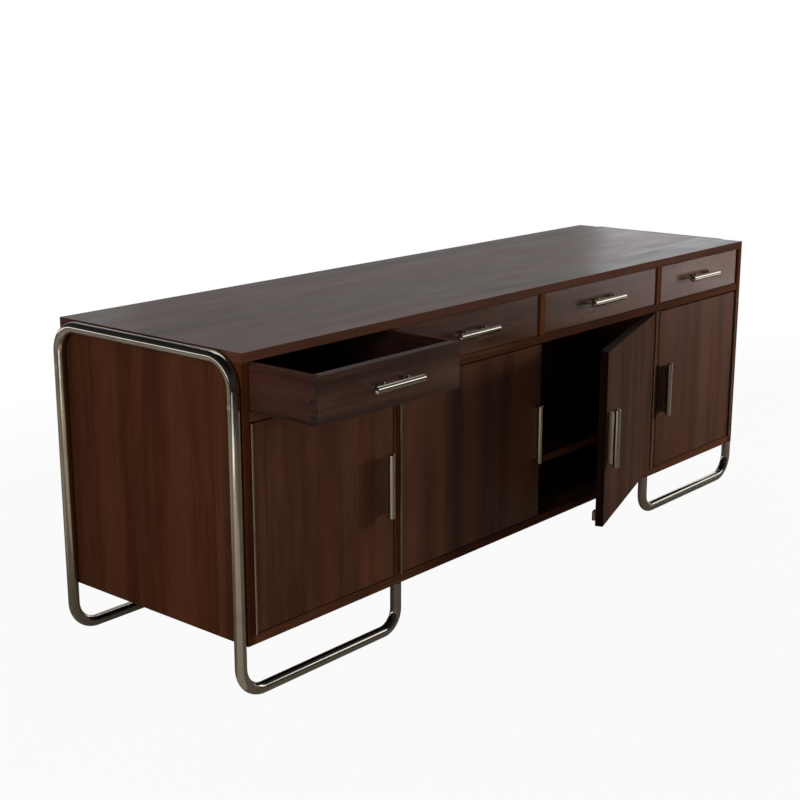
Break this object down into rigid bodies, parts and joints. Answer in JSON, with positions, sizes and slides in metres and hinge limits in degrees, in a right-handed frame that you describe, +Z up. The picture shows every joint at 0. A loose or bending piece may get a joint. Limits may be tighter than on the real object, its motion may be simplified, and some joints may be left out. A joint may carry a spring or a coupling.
{
  "type": "sideboard",
  "caption": "Long wooden sideboard with drawers over hinged doors, carried at both ends by bent tube frames that wrap the cabinet and turn in as feet.",
  "frame": {"origin": "on the floor under the middle of the cabinet", "axes": "+X along the length to the right as seen from the front, +Y to the back, +Z up"},
  "size_m": [2.0352, 0.7695, 0.717],
  "materials": {
    "cabinet_veneer": "dark walnut veneer, satin lacquer",
    "door_veneer": "dark walnut veneer with upright grain, satin lacquer",
    "drawer_veneer": "dark walnut veneer with level grain, satin lacquer",
    "drawer_wood": "solid reddish hardwood, oiled",
    "frame_nickel": "polished nickel plate on steel tube",
    "pull_nickel": "polished nickel plate",
    "hinge_nickel": "nickel plated steel"
  },
  "bodies": {
    "carcass": {"back_panel": "cabinet_veneer", "bottom_panel": "cabinet_veneer", "catch_strikes": "hinge_nickel", "centre_drawer_divider": "cabinet_veneer", "centre_shelf": "cabinet_veneer", "drawer_deck": "cabinet_veneer", "hinge_frame_leaves": "hinge_nickel", "hinge_pins": "hinge_nickel", "left_drawer_divider": "cabinet_veneer", "left_end_panel": "cabinet_veneer", "left_frame_tube": "frame_nickel", "left_partition": "cabinet_veneer", "left_shelf": "cabinet_veneer", "right_drawer_divider": "cabinet_veneer", "right_end_panel": "cabinet_veneer", "right_frame_tube": "frame_nickel", "right_partition": "cabinet_veneer", "right_shelf": "cabinet_veneer", "top_panel": "cabinet_veneer"},
    "door_1": {"door_1_catch": "hinge_nickel", "door_1_hinge_leaf": "hinge_nickel", "door_1_panel": "door_veneer", "door_1_pull": "pull_nickel"},
    "door_2": {"door_2_catch": "hinge_nickel", "door_2_hinge_leaf": "hinge_nickel", "door_2_panel": "door_veneer", "door_2_pull": "pull_nickel"},
    "door_3": {"door_3_catch": "hinge_nickel", "door_3_hinge_leaf": "hinge_nickel", "door_3_panel": "door_veneer", "door_3_pull": "pull_nickel"},
    "door_4": {"door_4_catch": "hinge_nickel", "door_4_hinge_leaf": "hinge_nickel", "door_4_panel": "door_veneer", "door_4_pull": "pull_nickel"},
    "drawer_1": {"drawer_1_back": "drawer_wood", "drawer_1_bottom": "drawer_wood", "drawer_1_front": "drawer_veneer", "drawer_1_pull": "pull_nickel", "drawer_1_sides": "drawer_wood"},
    "drawer_2": {"drawer_2_back": "drawer_wood", "drawer_2_bottom": "drawer_wood", "drawer_2_front": "drawer_veneer", "drawer_2_pull": "pull_nickel", "drawer_2_sides": "drawer_wood"},
    "drawer_3": {"drawer_3_back": "drawer_wood", "drawer_3_bottom": "drawer_wood", "drawer_3_front": "drawer_veneer", "drawer_3_pull": "pull_nickel", "drawer_3_sides": "drawer_wood"},
    "drawer_4": {"drawer_4_back": "drawer_wood", "drawer_4_bottom": "drawer_wood", "drawer_4_front": "drawer_veneer", "drawer_4_pull": "pull_nickel", "drawer_4_sides": "drawer_wood"}
  },
  "joints": [
    {"name": "door_1_hinge", "type": "hinge", "parent": "carcass", "child": "door_1", "pos_m": [-0.971, -0.2821, 0.357], "axis": [0, 0, -1], "range_deg": [0, 170]},
    {"name": "door_2_hinge", "type": "hinge", "parent": "carcass", "child": "door_2", "pos_m": [-0.527, -0.2821, 0.357], "axis": [0, 0, -1], "range_deg": [0, 145]},
    {"name": "door_3_hinge", "type": "hinge", "parent": "carcass", "child": "door_3", "pos_m": [0.527, -0.2821, 0.357], "axis": [0, 0, 1], "range_deg": [-19, 126]},
    {"name": "door_4_hinge", "type": "hinge", "parent": "carcass", "child": "door_4", "pos_m": [0.971, -0.2821, 0.357], "axis": [0, 0, 1], "range_deg": [0, 170]},
    {"name": "drawer_1_slide", "type": "slide", "parent": "carcass", "child": "drawer_1", "axis": [0, -1, 0], "range_m": [-0.184, 0.196]},
    {"name": "drawer_2_slide", "type": "slide", "parent": "carcass", "child": "drawer_2", "axis": [0, -1, 0], "range_m": [0, 0.38]},
    {"name": "drawer_3_slide", "type": "slide", "parent": "carcass", "child": "drawer_3", "axis": [0, -1, 0], "range_m": [0, 0.38]},
    {"name": "drawer_4_slide", "type": "slide", "parent": "carcass", "child": "drawer_4", "axis": [0, -1, 0], "range_m": [0, 0.38]}
  ]
}
